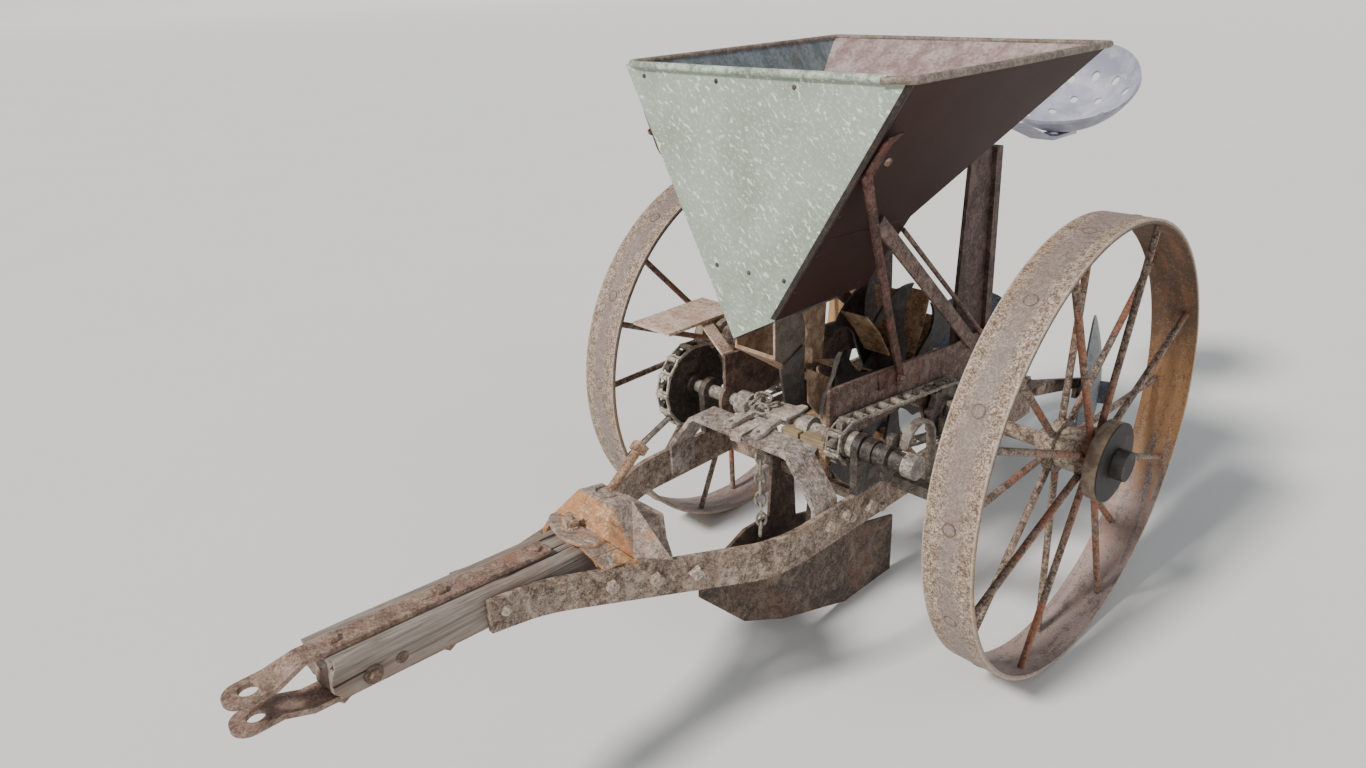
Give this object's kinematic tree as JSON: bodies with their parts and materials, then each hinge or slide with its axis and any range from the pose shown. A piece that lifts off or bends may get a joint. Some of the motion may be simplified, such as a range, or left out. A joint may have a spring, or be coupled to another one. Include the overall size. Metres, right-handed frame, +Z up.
{
  "type": "potato planter",
  "caption": "Towed potato planter for one row, with iron wheels, tapered seed hopper, picker wheel, furrow opener, covering discs and a rear seat",
  "frame": {"origin": "on the ground under the middle of the machine's length and width", "axes": "+X to the machine's left side, -Y forward along the tongue, +Z up"},
  "size_m": [1.109, 2.3764, 1.191],
  "materials": {
    "rusty_steel": "rusted flat bar, brown-grey, rough",
    "weathered_timber": "grey weathered sawn timber with open cracks",
    "orange_rust_plate": "orange-brown surface rust over worn steel",
    "galvanised_sheet": "spangled galvanised sheet, green-grey, with white bloom",
    "brown_paint_sheet": "dark brown-red weathered paint on sheet steel",
    "red_rust_bar": "red-brown rust on flat bar",
    "dull_iron": "bare worn malleable iron, grey-brown",
    "dark_casting": "dark oily cast iron with brown dust",
    "brown_shoe_steel": "brown pitted steel with dried soil",
    "tan_picker_iron": "tan-brown rust-filmed plate",
    "grey_seat_steel": "faded lavender-grey paint on pressed steel",
    "pale_rust_plate": "pale pink-brown dry rust",
    "blue_grey_disc": "blue-grey worn steel with rust at the edge",
    "wheel_rust": "speckled pinkish-grey and orange rust"
  },
  "bodies": {
    "frame": {"side_rails": "rusty_steel", "tongue_beam": "weathered_timber", "hitch_strap_upper": "rusty_steel", "hitch_strap_lower": "rusty_steel", "gusset_plate": "orange_rust_plate", "arch_bridge": "rusty_steel", "arch_levers": "rusty_steel", "side_boards": "rusty_steel", "axle": "rusty_steel", "axle_bearings": "dark_casting", "countershaft": "dull_iron", "shaft_pedestals": "dark_casting", "picker_drive_sprockets": "dark_casting", "picker_drive_chain": "dull_iron", "axle_drive_sprockets": "dark_casting", "axle_drive_chain": "dull_iron", "clutch_casting": "dark_casting", "hook_band": "dull_iron", "lift_lever": "orange_rust_plate", "lift_chain": "dull_iron", "furrow_opener": "brown_shoe_steel", "opener_crossbar": "rusty_steel", "hopper_front_sheet": "galvanised_sheet", "hopper_side_left": "brown_paint_sheet", "hopper_side_right": "brown_paint_sheet", "hopper_rear_sheet": "brown_paint_sheet", "hopper_rim": "galvanised_sheet", "hopper_straps": "red_rust_bar", "hopper_braces": "rusty_steel", "seed_chamber": "tan_picker_iron", "seat_posts": "rusty_steel", "seat_crosshead": "rusty_steel", "seat_spring": "grey_seat_steel", "seat_pan": "grey_seat_steel", "foot_plate": "pale_rust_plate", "rear_tool_bar": "rusty_steel", "disc_arms": "rusty_steel"},
    "picker_wheel": {"picker_wheel": "dark_casting", "picker_paddles": "tan_picker_iron"},
    "covering_disc_left": {"covering_disc_left": "blue_grey_disc"},
    "covering_disc_right": {"covering_disc_right": "blue_grey_disc"},
    "wheel_left": {"wheel_left_rim": "wheel_rust", "wheel_left_hub": "rusty_steel", "wheel_left_drum": "dark_casting"},
    "wheel_right": {"wheel_right_rim": "wheel_rust", "wheel_right_hub": "rusty_steel", "wheel_right_drum": "dark_casting"}
  },
  "joints": [
    {"name": "wheel_left_spin", "type": "hinge", "parent": "frame", "child": "wheel_left", "pos_m": [0.4515, 0.26383, 0.457], "axis": [1, 0, 0], "continuous": true},
    {"name": "wheel_right_spin", "type": "hinge", "parent": "frame", "child": "wheel_right", "pos_m": [-0.4515, 0.26383, 0.457], "axis": [1, 0, 0], "continuous": true},
    {"name": "picker_spin", "type": "hinge", "parent": "frame", "child": "picker_wheel", "pos_m": [0, 0.26383, 0.457], "axis": [1, 0, 0], "continuous": true},
    {"name": "disc_left_spin", "type": "hinge", "parent": "frame", "child": "covering_disc_left", "pos_m": [0.215, 0.95383, 0.275], "axis": [-0.9397, -0.342, 0], "continuous": true},
    {"name": "disc_right_spin", "type": "hinge", "parent": "frame", "child": "covering_disc_right", "pos_m": [-0.215, 0.95383, 0.275], "axis": [0.9397, -0.342, 0], "continuous": true}
  ]
}
